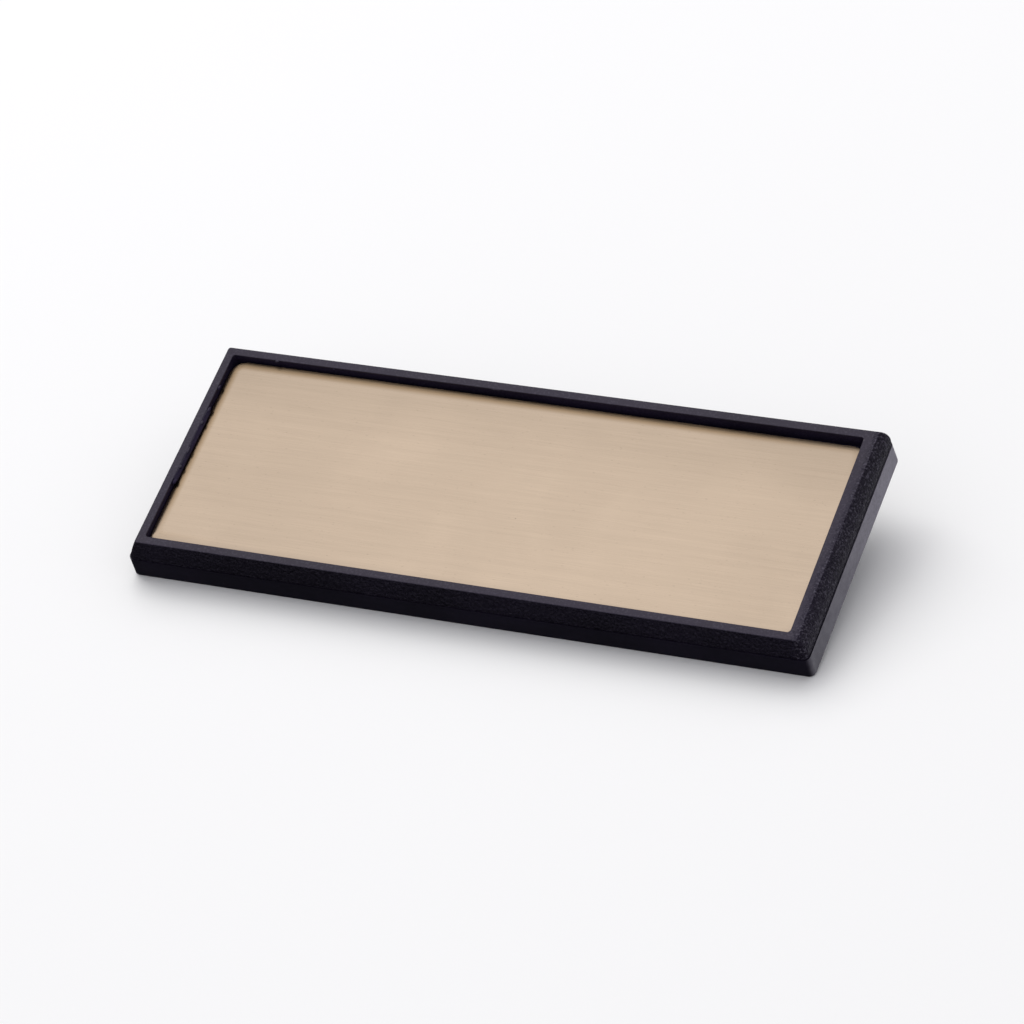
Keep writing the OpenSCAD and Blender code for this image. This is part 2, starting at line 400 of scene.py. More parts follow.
def set_askew(corner, ring, s):
    """Moves a corner of the moulding's outside to where it stands on this badge: the left wall and
    the lower right corner stand out, the right side bulges, most of all at its upper corner, and
    the rim is worn round at its lower right edge."""
    share = fade(corner.co.z, s.wall_height, s.thickness)
    if corner.co.x < 0:
        foot = 1 - fade(corner.co.z, 0, s.wall_height)
        corner.co.x -= s.left_stand * (1 - share) + s.left_flare * foot
        return
    half_x, radius = ring[0], ring[2]
    to_right = fade(corner.co.x, half_x - radius, half_x)
    shoulder = fade(corner.co.z, s.thickness - s.rim_edge, s.thickness)
    bulge = 4 * share * (1 - share)
    corner.co.x += s.right_bulge * bulge
    if corner.co.y < 0:
        corner.co.x += s.corner_stand - s.worn_width * shoulder * to_right
        corner.co.z -= s.worn_drop * share ** 3 * (1 - shoulder) * to_right
    else:
        corner.co.x += s.corner_bulge / 3 * bulge
        corner.co.y += s.corner_bulge * bulge


def frame_body(s):
    """The moulding's outer form, open at the top down to the plate's seat."""
    half_x, half_y = s.badge_length / 2, s.badge_height / 2
    section = [(s.back_edge - x, s.back_edge - z) for x, z in arc(s.back_edge, EDGE_STEPS)]
    section += [(0, s.wall_height), (s.ledge + GROOVE_DEPTH, s.wall_height - GROOVE_HEIGHT)]
    rise = s.thickness - s.rim_edge - s.wall_height
    for i in range(SIDE_STEPS + 1):
        share = i / SIDE_STEPS
        inset = (s.side_inset - s.ledge) * share - 4 * s.side_bulge * share * (1 - share)
        section.append((s.ledge + inset, s.wall_height + rise * share))
    shoulder = [
        (s.side_inset + s.rim_edge - x, s.thickness - s.rim_edge + z)
        for x, z in reversed(arc(s.rim_edge, EDGE_STEPS))
    ]
    tighter = (s.corner_radius - s.rim_radius) / s.side_inset
    outside = [
        (half_x - inset, half_y - inset, s.corner_radius - tighter * inset, z)
        for inset, z in section + shoulder[1:]
    ]
    inside = [
        (s.lip_edge - x, s.thickness - s.lip_edge + z) for x, z in arc(s.lip_edge, LIP_STEPS)
    ]
    inside += [(0, s.lug_z - UNDER_LUG), (0, s.seat_z)]
    bm = bmesh.new()
    loops = loft(bm, outside + [
        (s.opening_x + out, s.opening_y + out, s.opening_radius + out, z) for out, z in inside
    ])
    rings = [{v for edge in loop for v in edge.verts} for loop in loops]
    for ring, corners in zip(outside, rings):
        for corner in corners:
            set_askew(corner, ring, s)
    lip = set().union(*rings[len(outside):-2])
    leaning = [v for v in lip if v.co.x > 0 and v.co.y > 0]
    bmesh.ops.translate(bm, verts=leaning, vec=(-s.rim_lean, 0, 0))
    above_seat = [v for v in bm.verts if v.co.x > 0 and v.co.z > s.seat_z + WELD]
    bmesh.ops.triangulate(bm, faces=list({f for v in above_seat for f in v.link_faces}))
    return solid("frame_moulding", bm)


def pin_block(name, from_x, to_x, from_slope, to_slope, b):
    """A tapered block with rounded edges; the slopes are the drafts at its two ends."""
    bm = bmesh.new()
    centre_x, centre_y = (from_x + to_x) / 2, (b.low + b.high) / 2
    corners = box(bm, (from_x, b.low, -b.block_height), (to_x, b.high, 0))
    for corner in [v for v in corners if v.co.z < -b.block_height / 2]:
        corner.co.x += from_slope if corner.co.x < centre_x else -to_slope
        corner.co.y += b.draft if corner.co.y < centre_y else -b.draft
    back = max(bm.faces, key=lambda f: middle(f).z)
    round_edges(bm, set(bm.edges) - set(back.edges), b.rounding, 5)
    raise_face(bm, max(bm.faces, key=lambda f: middle(f).z), LAP)
    return solid(name, bm)


def catch_block(b):
    """The block that the needle's point rests in, hollow and open along its lower side."""
    block = pin_block("catch", b.catch_near, b.catch_far, b.catch_slope, b.draft, b)
    bm = bmesh.new()
    lip_y = b.low + b.lip_width
    inner_x = b.catch_far - b.catch_wall
    inner_y = b.high - b.draft - b.catch_wall
    box(bm, (b.catch_near - LAP, lip_y, b.catch_wall - b.block_height), (inner_x, inner_y, 2 * LAP))
    box(bm, (b.catch_near - LAP, b.low - LAP, -b.lip_gap), (inner_x, lip_y + LAP, 2 * LAP))
    combine(block, solid("catch hollow", bm), "DIFFERENCE")
    return block


NECK_STEPS = 6
ALMOST = 0.99


def root_place(n, *axes):
    """The place of the needle's root, with the ways that its local X, Y and Z point."""
    return Matrix.Translation((n.root_x, n.y, n.z)) @ Matrix(axes).transposed().to_4x4()


def root_pin(bm, n, clearance, segments):
    """Adds the pin that the needle turns on, larger by a clearance."""
    place = root_place(n, ALONG, SWING_WAY, HINGE_AXIS)
    cylinder(bm, n.pin_diameter / 2 + clearance, n.pin_length + 2 * clearance, place, segments)


def hinge_block(b, n):
    """The block that holds the needle's root, with its notch, pocket and bore."""
    block = pin_block("hinge", b.root_far, b.root_near, b.draft, 0, b)
    bm = bmesh.new()
    notch_x = b.root_near - b.notch_length
    outside = -b.block_height - LAP
    box(bm, (notch_x, b.notch_low, outside), (b.root_near + LAP, b.notch_high, -b.notch_floor))
    box(bm, (notch_x, b.notch_low, outside), (notch_x + b.pocket_length, n.y, -b.pocket_floor))
    root_pin(bm, n, n.pin_clearance, MARK_SEGMENTS)
    neck_length = notch_x - n.root_x
    neck_shift = neck_length * math.tan(SWING)
    radius = n.diameter / 2 + n.pin_clearance
    neck = rounded_face(bm, neck_shift / 2 + radius, radius, radius * ALMOST, 0, NECK_STEPS)
    corners = push_out(bm, neck, (0, 0, neck_length + LAP / 2))
    place = root_place(n, SWING_WAY, HINGE_AXIS, ALONG)
    place = place @ Matrix.Translation((neck_shift / 2, 0, 0))
    bmesh.ops.transform(bm, verts=list(set(corners) | set(neck.verts)), matrix=place)
    combine(block, solid("hinge hollows", bm), "DIFFERENCE")
    return block


def plate_lugs(s):
    """The two lugs that keep the plate in."""
    bm = bmesh.new()
    for side in (-1, 1):
        low_y = s.slot_y - s.lug_length / 2
        under_z = s.lug_z + (s.lug_lift if side < 0 else 0)
        slope_z = under_z + s.lug_edge
        profile = [
            (s.opening_x + LAP, under_z),
            (s.opening_x - s.lug_reach, under_z),
            (s.opening_x - s.lug_reach, slope_z),
            (s.opening_x, slope_z + s.lug_rise),
            (s.opening_x + LAP, slope_z + s.lug_rise),
        ]
        face = bm.faces.new([bm.verts.new((side * x, low_y, z)) for x, z in profile])
        push_out(bm, face, (0, s.lug_length, 0))
    return solid("lugs", bm)


# Small lumps and burrs, each as (place, half sizes) in millimetres: six along the opening's left
# side, three along its upper side, one on the right rim, and two on the back: the gate's stub and
# a burr by the left slot.
LUMPS = (
    ((-38.2, 8.25, 5.1), (0.21, 0.36, 0.12)),
    ((-38.15, 5.1, 5.08), (0.24, 0.42, 0.13)),
    ((-38.2, 3.2, 5.14), (0.25, 0.34, 0.14)),
    ((-38.2, -0.7, 5.16), (0.2, 0.5, 0.13)),
    ((-38.2, -3, 5.15), (0.24, 0.28, 0.14)),
    ((-38.1, -4.95, 5.05), (0.26, 0.4, 0.14)),
    ((-32.7, 12.69, 5.205), (0.27, 0.17, 0.125)),
    ((-25.6, 12.72, 5.1), (0.16, 0.1, 0.1)),
    ((-5.6, 12.74, 5.2), (0.65, 0.08, 0.1)),
    ((38.35, -3.1, 5.24), (0.14, 0.35, 0.1)),
    ((-3.45, 5.9, 0), (0.14, 0.2, 0.12)),
    ((-38.65, -6.2, 0), (0.42, 0.1, 0.1)),
)

# The chip in the back, in the same way
CHIPS = (((-4.2, -7.2, 0), (0.38, 0.22, 0.12)),)


def ellipsoids(bm, places_and_sizes):
    """Adds small ellipsoids, each with a middle and three half sizes."""
    for place, half_sizes in places_and_sizes:
        matrix = Matrix.Translation(place) @ Matrix.Diagonal((*half_sizes, 1))
        bmesh.ops.create_icosphere(bm, subdivisions=2, radius=1, matrix=matrix)


def mould_lumps():
    bm = bmesh.new()
    ellipsoids(bm, LUMPS)
    return solid("lumps", bm)


HOLLOW_INSET = 0.05
SLOT_INSET = 0.02


def frame_hollows(s, rib_count):
    """What is cut from the moulding: the hollow under the plate, the slots, mould mark and chip."""
    bm = bmesh.new()
    hollow_x = s.opening_x - HOLLOW_INSET
    hollow_y = s.opening_y - s.seat_width
    bay = 2 * s.opening_x / (rib_count + 1)
    for i in range(rib_count + 1):
        low_x = max(-hollow_x, i * bay - s.opening_x + s.rib_width / 2)
        high_x = min(hollow_x, (i + 1) * bay - s.opening_x - s.rib_width / 2)
        box(bm, (low_x, -hollow_y, s.back_wall), (high_x, hollow_y, s.seat_z + LAP))
    half_width, half_length = s.slot_width / 2, s.slot_length / 2
    slot_x = s.opening_x - half_width - SLOT_INSET
    for side in (-1, 1):
        low = (side * slot_x - half_width, s.slot_y - half_length, -LAP)
        box(bm, low, (side * slot_x + half_width, s.slot_y + half_length, s.back_wall + LAP))
    mark = Matrix.Translation((s.mark_x, s.mark_y, (s.mark_depth - LAP) / 2))
    cylinder(bm, s.mark_diameter / 2, s.mark_depth + LAP, mark, MARK_SEGMENTS)
    ellipsoids(bm, CHIPS)
    return solid("hollows", bm)


# Sorts mainly by z and then by y; odd numbers, so that no two places count the same
SORT_WEIGHTS = Vector((1, 103.7, 10007.3))


def sort_by_place(bm):
    """Puts a drawing's parts in a fixed order, because a cut leaves them in a new one each run."""
    bm.verts.sort(key=lambda v: v.co.dot(SORT_WEIGHTS))
    bm.edges.sort(key=lambda e: middle(e).dot(SORT_WEIGHTS))
    bm.faces.sort(key=lambda f: middle(f).dot(SORT_WEIGHTS))


def weld(bm):
    """Joins corners that all but meet."""
    sort_by_place(bm)
    bmesh.ops.remove_doubles(bm, verts=bm.verts, dist=WELD)
    sort_by_place(bm)


CUT_ROUNDING = 0.08
FLAT_ANGLE = math.radians(0.2)
CORNER_ANGLE = math.radians(50)


def soften_cuts(piece):
    """Rounds the sharp outer edges that the cuts left on the back and on the blocks."""
    bm = bmesh.new()
    bm.from_mesh(piece.data)
    weld(bm)
    bmesh.ops.dissolve_limit(
        bm, angle_limit=FLAT_ANGLE, verts=bm.verts, edges=bm.edges, delimit=set()
    )
    sort_by_place(bm)
    sharp = [
        e for e in bm.edges
        if len(e.link_faces) == 2 and e.is_convex and middle(e).z < 0.01
        and e.calc_face_angle() > CORNER_ANGLE and e.calc_length() > 4 * CUT_ROUNDING
    ]
    round_edges(bm, sharp, CUT_ROUNDING, 2)
    weld(bm)
    bmesh.ops.triangulate(bm, faces=[f for f in bm.faces if len(f.verts) > 4])
    sort_by_place(bm)
    bm.to_mesh(piece.data)
    bm.free()


# The DARK finish of the inner faces is the plastic painted lighter: painted light
SMOOTH, GRAINED, DARK = range(3)


def frame_finish(s, b):
    """Picks the finish of each face of the moulding by its place, with small margins."""
    catch_low = Vector((b.catch_near + b.catch_slope, b.low + 0.4, 0.2 - b.block_height))
    catch_high = Vector((b.catch_far - b.catch_wall + 0.05, b.high - b.draft - 0.5, -0.05))

    def pick(place):
        x, y, z = place
        if z < catch_high.z:
            in_catch = all(low < c < high for low, c, high in zip(catch_low, place, catch_high))
            return DARK if in_catch else GRAINED
        past_opening = max(abs(x) - s.opening_x, abs(y) - s.opening_y)
        if past_opening > 0.4 and s.wall_height - 0.01 < z < s.thickness - 0.03:
            return GRAINED
        return DARK if past_opening < 0.03 and 0.01 < z < s.thickness - 0.11 else SMOOTH

    return pick


# The plate and the needle


def square_corner(bm, centre):
    """Makes the lower left rounded corner of the plate squarer; centre is its arc's middle."""
    for v in bm.verts:
        away = centre - v.co.xy
        if min(away) > 0:
            away *= 1 + SQUARENESS * (away.length / max(away) - 1)
            v.co.xy = centre - away


SQUARENESS = 0.75
ROLL_STEPS = 5
ROLL_BEND = 0.35


def make_plate(p, turn):
    """The brushed plate, turned a little in its opening; its edges roll down as punched."""
    half_x, half_y = p.plate_length / 2, p.plate_height / 2
    edge_z = p.thickness - p.roll_drop - p.edge
    section = [(p.edge, 0), (0, p.edge)]
    section += [(p.edge - x, edge_z + z) for x, z in reversed(arc(p.edge, LIP_STEPS))]
    for i in range(1, ROLL_STEPS + 1):
        share = i / ROLL_STEPS
        drop = p.roll_drop * (1 - share) * (1 - ROLL_BEND * share)
        section.append((p.edge + (p.roll_width - p.edge) * share, p.thickness - drop))
    rings = [
        (half_x - inset, half_y - inset, p.corner_radius - inset, p.face_z - p.thickness + z)
        for inset, z in section
    ]
    bm = bmesh.new()
    loft(bm, rings)
    square_corner(bm, Vector((p.corner_radius - half_x, p.corner_radius - half_y)))
    brush = bm.loops.layers.uv.new(BRUSH_MAP)
    for face in bm.faces:
        for corner in face.loops:
            corner[brush].uv = corner.vert.co.xy / p.plate_length
    right_end = Vector((half_x, 0, p.face_z))
    lift = Matrix.Rotation(p.left_lift / p.plate_length, 4, "Y")
    place = Matrix.Translation(right_end - Vector((0, p.sag, 0))) @ lift
    place = place @ Matrix.Translation(-right_end) @ Matrix.Rotation(turn, 4, "Z")
    bmesh.ops.transform(bm, verts=bm.verts, matrix=place)
    return solid("face_plate_metal", bm)


NEEDLE_SEGMENTS = 40
POINT_STEPS = 6
POINT_FULLNESS = 0.06
TIP_ROUNDNESS = 0.3


def make_needle(n):
    """The needle with its ground point and the pin that it turns on."""
    bm = bmesh.new()
    radius, tip_radius = n.diameter / 2, n.tip_diameter / 2
    outline = [(n.root_x, 0), (n.root_x, radius), (n.tip_x - n.point_length, radius)]
    for i in range(1, POINT_STEPS):
        share = i / POINT_STEPS
        fuller = POINT_FULLNESS * radius * math.sin(math.pi * share)
        outline.append((
            n.tip_x - n.point_length * (1 - share),
            radius + (tip_radius - radius) * share + fuller,
        ))
    outline += [(n.tip_x, tip_radius), (n.tip_x + tip_radius * TIP_ROUNDNESS, 0)]
    points = [bm.verts.new((x, n.y + r, n.z)) for x, r in outline]
    line = [bm.edges.new(pair) for pair in zip(points, points[1:])]
    bmesh.ops.spin(
        bm, geom=points + line, cent=(0, n.y, n.z), axis=(1, 0, 0), angle=2 * math.pi,
        steps=NEEDLE_SEGMENTS, use_merge=True,
    )
    bmesh.ops.remove_doubles(bm, verts=bm.verts, dist=2 * WELD)
    needle = solid("needle_wire", bm)
    bm = bmesh.new()
    root_pin(bm, n, 0, NEEDLE_SEGMENTS)
    combine(needle, solid("hinge pin", bm), "UNION")
    return needle


# Materials

# Painted glints: light specks on the grain's points that stand in for the grain catching the light
PAINTED_GRAIN_GLINT = (0.056, 0.051, 0.069, 1)
# Paler plastic for the right wall: partly wear, partly a painted reflection of the light on that side
WORN_AND_REFLECTION_PLASTIC = (0.132, 0.122, 0.152, 1)
PLASTIC_SHEEN = (0.85, 0.77, 1.0, 1)
PLASTIC_DUST = (0.2, 0.19, 0.18, 1)
METAL_DUST = (0.1, 0.09, 0.08, 1)
# The plate's tan tint for its painted shadow and reflection of the frame's inner wall
WALL_SHADOW_TAN = (0.68, 0.61, 0.5)


def fill(node, inputs):
    """Gives each of a node's inputs a value or another node's output."""
    for name, value in inputs.items():
        if isinstance(value, bpy.types.NodeSocket):
            node.id_data.links.new(value, node.inputs[name])
        else:
            node.inputs[name].default_value = value


def add_node(kind, inputs, tree=None, **properties):
    """Adds a shader node; inputs holds a value or another node's output for each input. The node
    goes into the tree of those outputs, unless a tree is given."""
    tree = tree or next(v.id_data for v in inputs.values() if isinstance(v, bpy.types.NodeSocket))
    node = tree.nodes.new("ShaderNode" + kind)
    for name, value in properties.items():
        setattr(node, name, value)
    fill(node, inputs)
    return node


def calculate(operation, first, second=0.0):
    return add_node("Math", {0: first, 1: second}, operation=operation).outputs[0]


def times(result, *values):
    """Multiplies two or more values."""
    for value in values:
        result = calculate("MULTIPLY", result, value)
    return result


def plus(result, *values):
    """Adds two or more values."""
    for value in values:
        result = calculate("ADD", result, value)
    return result


def vector_node(operation, first, second=(0, 0, 0)):
    return add_node("VectorMath", {0: first, 1: second}, operation=operation)


def scaled(vector, factors):
    """A vector with each part multiplied by its own factor."""
    return vector_node("MULTIPLY", vector, factors).outputs[0]


def parts_of(vector):
    return add_node("SeparateXYZ", {0: vector}).outputs


def noise(vector, scale, detail=2.0, roughness=0.5, distortion=0.0):
    inputs = {
        "Vector": vector, "Scale": scale, "Detail": detail,
        "Roughness": roughness, "Distortion": distortion,
    }
    return add_node("TexNoise", inputs).outputs[0]


def cells_of(vector, scale):
    """The outputs of a pattern of random cells."""
    return add_node("TexVoronoi", {"Vector": vector, "Scale": scale}, feature="F1").outputs


def between(value, start, end, low=0.0, high=1.0):
    """Fades softly from low to high while a value goes from start to end."""
    inputs = {"Value": value, "From Min": start, "From Max": end, "To Min": low, "To Max": high}
    return add_node("MapRange", inputs, interpolation_type="SMOOTHSTEP").outputs[0]


def blend(amount, first, second, kind="MIX"):
    """Mixes two colours."""
    inputs = {0: amount, 6: first, 7: second}
    return add_node("Mix", inputs, data_type="RGBA", blend_type=kind).outputs[2]


def new_group(name, defaults, outputs):
    """A new node group that is given a position and some values, with its two end nodes."""
    group = bpy.data.node_groups.new(name, "ShaderNodeTree")
    group.interface.new_socket(name="Position", in_out="INPUT", socket_type="NodeSocketVector")
    for label, default in defaults.items():
        socket = group.interface.new_socket(
            name=label, in_out="INPUT", socket_type="NodeSocketFloat"
        )
        socket.default_value = default
    for label in outputs:
        group.interface.new_socket(name=label, in_out="OUTPUT", socket_type="NodeSocketFloat")
    given = group.nodes.new("NodeGroupInput").outputs
    return group, given, group.nodes.new("NodeGroupOutput")


def grain_group():
    """The spark-eroded grain of the mould: a height and a mask of its points that get painted glints.
    """
    group, given, result = new_group("mould grain", {"Size": 0.3}, ["Height", "Points"])
    place = given["Position"]
    scale = calculate("DIVIDE", 1.0, given["Size"])
    fine = noise(place, scale, detail=3.0, roughness=0.6)
    cells = cells_of(place, times(scale, 0.7))["Distance"]
    points = noise(place, times(scale, 1.2), detail=1.0)
    fill(result, {
        "Height": calculate("SUBTRACT", fine, times(cells, 0.5)),
        "Points": between(points, 0.5, 0.7),
    })
    return group


def flow_group():
    """Streaks and clouds where the plastic flowed."""
    group, given, result = new_group("flow marks", {"Length": 16.0}, ["Streaks", "Clouds"])
    place = given["Position"]
    drawn_out = scaled(place, (0.07, 0.5, 0.5))
    streaks = noise(drawn_out, 1.0, detail=4.0, roughness=0.6, distortion=0.7)
    scale = calculate("DIVIDE", 1.0, given["Length"])
    clouds = noise(place, scale, detail=4.0, roughness=0.55, distortion=0.4)
    fill(result, {
        "Streaks": between(streaks, 0.38, 0.68),
        "Clouds": between(clouds, 0.4, 0.66),
    })
    return group


def rub_group():
    """Fine scratches in three directions, where the part was rubbed."""
    group, given, result = new_group("rub marks", {"Amount": 1.0}, ["Scratches"])
    place = given["Position"]
    marks = 0.0
    for turn, width, limit in ((0.45, 0.05, 0.68), (-1.1, 0.07, 0.7), (1.4, 0.04, 0.7)):
        inputs = {
            "Vector": place, "Rotation": (turn * 0.6, turn * 0.3, turn),
            "Scale": (0.16, 1 / width, 1 / width),
        }
        lines = add_node("Mapping", inputs, vector_type="POINT").outputs[0]
        lines = between(noise(lines, 1.0, detail=1.0), limit, limit + 0.06)
        marks = calculate("MAXIMUM", marks, lines)
    patches = between(noise(place, 0.16), 0.42, 0.66)
    fill(result, {"Scratches": times(marks, patches, given["Amount"])})
    return group


def dust_group():
    """Scattered specks of dust."""
    defaults = {"Spacing": 1.4, "Size": 0.05, "Share": 0.4}
    group, given, result = new_group("dust", defaults, ["Specks"])
    scale = calculate("DIVIDE", 1.0, given["Spacing"])
    cells = cells_of(given["Position"], scale)
    away = times(cells["Distance"], given["Spacing"])
    pick = add_node("SeparateColor", {0: cells["Color"]}).outputs
    chosen = calculate("LESS_THAN", pick[0], given["Share"])
    size = times(given["Size"], plus(pick[1], 0.4))
    speck = between(calculate("SUBTRACT", size, away), 0.0, 0.02)
    fill(result, {"Specks": times(speck, chosen)})
    return group


def brush_group():
    """The lines of a brushed sheet: a height, broad streaks and dark pits."""
    defaults = {"Line": 0.07, "Streak": 0.7}
    group, given, result = new_group("brush lines", defaults, ["Lines", "Streaks", "Pits"])
    parts = parts_of(given["Position"])
    drift = noise(scaled(given["Position"], (0.08, 0.15, 0)), 1.0, detail=1.0)
    across = plus(parts[1], times(drift, 0.35))

    def drawn_out(along_scale, height, **shape):
        inputs = {0: times(parts[0], along_scale), 1: height}
        place = add_node("CombineXYZ", inputs).outputs[0]
        return noise(place, 1.0, **shape)

    in_lines = calculate("DIVIDE", across, given["Line"])
    in_streaks = calculate("DIVIDE", across, given["Streak"])
    pits = drawn_out(2.2, times(across, 9.0), detail=0.0)
    fill(result, {
        "Lines": drawn_out(0.13, in_lines, roughness=0.6),
        "Streaks": drawn_out(0.022, in_streaks, roughness=0.6),
        "Pits": between(pits, 0.77, 0.83),
    })
    return group


SHARED_GROUPS = {
    "mould grain": grain_group,
    "flow marks": flow_group,
    "rub marks": rub_group,
    "dust": dust_group,
    "brush lines": brush_group,
}


def use_group(name, place, **values):
    """Places a shared node group, which is built the first time, and returns its outputs."""
    group = bpy.data.node_groups.get(name) or SHARED_GROUPS[name]()
    return add_node("Group", {"Position": place, **values}, node_tree=group).outputs


def start_material(name):
    """A new material, its shader and the place on the flat badge in millimetres."""
    material = bpy.data.materials.new(name)
    material.use_nodes = True
    tree = material.node_tree
    tree.nodes.clear()
    shader = tree.nodes.new("ShaderNodeBsdfPrincipled")
    output = add_node("OutputMaterial", {"Surface": shader.outputs[0]})
    output.is_active_output = True
    inputs = {
        "Vector": tree.nodes.new("ShaderNodeTexCoord").outputs["Object"],
        "Location": AT_REST.inverted().to_translation() / MM,
        "Rotation": (-REST_TILT, 0, 0),
        "Scale": (1 / MM, 1 / MM, 1 / MM),
    }
    place = add_node("Mapping", inputs, vector_type="POINT").outputs[0]
    return material, shader, place


def bump(height, depth, under=None):
    """A bumped normal; depth is in millimetres."""
    inputs = {"Height": height, "Distance": depth * MM, "Strength": 1.0}
    if under is not None:
        inputs["Normal"] = under
    return add_node("Bump", inputs).outputs[0]


def rgba(colour, factor=1.0):
    return (*(part * factor for part in colour), 1)


def rim_edge_mask(place, parts, s):
    """How far a place on the rim is into the ragged edge of the right side's grain."""
    ragged = times(noise(place, 2.4, detail=4.0, roughness=0.65), 1.2)
    start = s.badge_length / 2 - s.side_inset
    return between(plus(parts[0], ragged), start - 0.05, start + 0.45)


def worn_and_reflection_mask(place, parts, s):
    """How far the right wall is paler, partly worn and partly a painted reflection of the light on
    that side: more towards the badge's upper edge.
    """
    half_length, half_height = s.badge_length / 2, s.badge_height / 2
    right = between(parts[0], half_length - 0.3, half_length - 0.08)
    below = between(parts[2], s.wall_height + 0.05, s.wall_height - 0.05)
    upper = between(parts[1], -half_height, half_height, high=1.1)
    mottling = noise(place, 3.0, detail=5.0, roughness=0.8)
    mottled = between(mottling, 0.3, 0.7, low=0.5, high=1.25)
    return times(right, below, upper, mottled)


def plastic_material(name, colour, s, roughness, reflection, grain, marks, smooth=False):
    """Black moulded plastic; grain is the depth of the mould's grain in millimetres and marks the
    strength of flow and rub marks. The grain's points get painted glints of light. Smooth plastic has
    grain only at the ragged edge of the rim's right side, and its right wall is paler: partly wear,
    partly a painted reflection of the light on that side."""
    material, shader, place = start_material(name)
    flow = use_group("flow marks", place)
    rubbed = use_group("rub marks", place, Amount=marks)["Scratches"]
    dust = use_group("dust", place)["Specks"]
    grained = use_group("mould grain", place)
    parts = parts_of(place)
    if smooth:
        on_rim = between(parts[2], s.wall_height + 0.1, s.wall_height + 0.3)
        amount = times(rim_edge_mask(place, parts, s), on_rim)
        # Painted glints: fainter on the rim, full at the ragged edge of its right side
        glint_amount = calculate("MAXIMUM", times(on_rim, 0.3), amount)
        roughness = plus(times(amount, 0.12), roughness)
        # The right wall's paleness: partly wear, partly a painted reflection
        worn = worn_and_reflection_mask(place, parts, s)
    else:
        half_length = s.badge_length / 2
        # Painted glints: full on the right side, where the light falls, and fainter elsewhere
        glint_amount = between(parts[0], half_length - 1.2, half_length - 0.7, low=0.15)
        amount, worn = 1.0, 0.0
    base = blend(flow["Clouds"], rgba(colour, 0.8), rgba(colour, 1.35))
    # Painted glints on the grain's points
    base = blend(times(grained["Points"], glint_amount), base, PAINTED_GRAIN_GLINT)
    base = blend(times(rubbed, 0.5), base, rgba(colour, 5))
    # The right wall paler: partly wear, partly a painted reflection
    base = blend(worn, base, WORN_AND_REFLECTION_PLASTIC)
    base = blend(times(dust, 0.7), base, PLASTIC_DUST)
    rough = plus(times(flow["Streaks"], 0.1 * marks), roughness, times(rubbed, 0.15))
    normal = bump(times(grained["Height"], amount), grain)
    normal = bump(times(flow["Clouds"], marks), 0.05, normal)
    fill(shader, {
        "Base Color": base, "Roughness": rough, "Normal": bump(rubbed, -0.004, normal),
        "IOR": 1.5, "Specular IOR Level": reflection, "Specular Tint": PLASTIC_SHEEN,
    })
    return material


def frame_materials(s, colour):
    """The materials of the moulding's finishes, in the order of SMOOTH, GRAINED and DARK; the DARK
    finish of the inner faces is the plastic painted lighter, as painted light on the opening's inner
    wall and in the catch.
    """
    # The plastic painted 2.5 times lighter for the inner faces: painted light
    painted_lighter = tuple(2.5 * part for part in colour)
    return (
        plastic_material(
            "smooth plastic", colour, s, roughness=0.3, reflection=0.55, grain=0.2, marks=1.0,
            smooth=True,
        ),
        plastic_material(
            "grained plastic", colour, s, roughness=0.54, reflection=0.26, grain=0.42, marks=0.3
        ),
        plastic_material(
            "inner plastic painted lighter", painted_lighter, s, roughness=0.62, reflection=0.2, grain=0.1, marks=0.4
        ),
    )


def painted_wall_shadow_mask(tree, p):
    """How far a place on the plate is into the tan band along its left and upper edges, a painted
    shadow and reflection of the frame's inner wall.
    """
    flat = add_node("UVMap", {}, tree, uv_map=BRUSH_MAP).outputs[0]
    flat = scaled(flat, (p.plate_length, p.plate_length, 0))
    corner = (p.plate_length / 2 - p.corner_radius, p.plate_height / 2 - p.corner_radius, 0)
    away = vector_node("ABSOLUTE", flat).outputs[0]
    away = vector_node("SUBTRACT", away, corner).outputs[0]
    away = vector_node("MAXIMUM", away).outputs[0]
    away = vector_node("LENGTH", away).outputs["Value"]
    band = between(away, p.corner_radius - 1.35, p.corner_radius - 0.6)
    parts = parts_of(flat)
    upper_left = calculate("SUBTRACT", parts[1], times(parts[0], 0.3))
    return times(band, between(upper_left, -4.0, 6.0))


